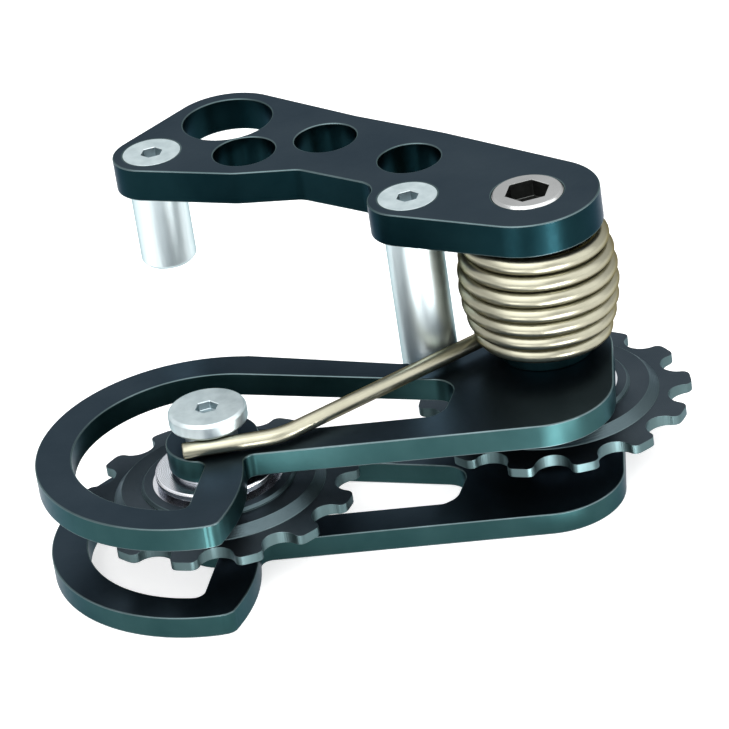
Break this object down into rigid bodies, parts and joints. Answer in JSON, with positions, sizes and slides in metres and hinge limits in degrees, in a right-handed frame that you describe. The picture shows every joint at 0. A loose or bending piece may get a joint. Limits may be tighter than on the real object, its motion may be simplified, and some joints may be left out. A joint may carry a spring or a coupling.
{
  "type": "bicycle chain tensioner",
  "caption": "Sprung chain tensioner: a bracket plate with posts and a coil spring over a pivoting two-plate cage that carries toothed guide and tension wheels.",
  "frame": {"origin": "on the pivot axis, at the flat underside of the lower cage plate", "axes": "+Z along the pivot from the cage to the bracket, +X from the tension axle to the pivot, with the cage at rest on its stop post"},
  "size_m": [0.1324, 0.1094, 0.06],
  "materials": {
    "black_anodised": "glossy black anodised",
    "bright_zinc": "bright zinc plate",
    "turned_steel": "fine turned",
    "yellow_zinc": "pale yellow zinc plate",
    "bronze": "oiled bearing bronze",
    "wheel_alloy": "dark blue-grey anodised",
    "bearing_steel": "polished"
  },
  "bodies": {
    "bracket": {"bracket_plate": "black_anodised", "short_post": "bright_zinc", "stop_post": "bright_zinc", "short_post_screw": "bright_zinc", "stop_post_screw": "bright_zinc", "pivot_spindle": "turned_steel", "spacer_sleeve": "turned_steel", "retaining_screw": "turned_steel"},
    "cage": {"torsion_spring": "yellow_zinc", "spring_seat": "black_anodised", "upper_bush": "bronze", "lower_bush": "bronze", "upper_cage_plate": "black_anodised", "lower_cage_plate": "black_anodised", "guide_inner_race": "bearing_steel", "guide_upper_cap": "bearing_steel", "guide_lower_cap": "bearing_steel", "tension_inner_race": "bearing_steel", "tension_upper_cap": "bearing_steel", "tension_lower_cap": "bearing_steel", "tension_axle_sleeve": "turned_steel", "tension_axle_bolt": "bright_zinc"},
    "guide": {"guide_wheel": "wheel_alloy", "guide_outer_race": "bearing_steel", "guide_balls": "bearing_steel"},
    "tension": {"tension_wheel": "wheel_alloy", "tension_outer_race": "bearing_steel", "tension_balls": "bearing_steel"}
  },
  "joints": [
    {"name": "cage_swing", "type": "hinge", "parent": "bracket", "child": "cage", "pos_m": [0, 0, 0.03], "axis": [0, 0, 1], "range_deg": [0, 60], "stiffness_Nm_per_rad": 2, "springref_deg": -28.65, "deforming": ["torsion_spring"]},
    {"name": "guide_spin", "type": "hinge", "parent": "cage", "child": "guide", "pos_m": [0, 0, 0.0121], "axis": [0, 0, 1], "continuous": true},
    {"name": "tension_spin", "type": "hinge", "parent": "cage", "child": "tension", "pos_m": [-0.07, 0, 0.0121], "axis": [0, 0, 1], "continuous": true}
  ]
}
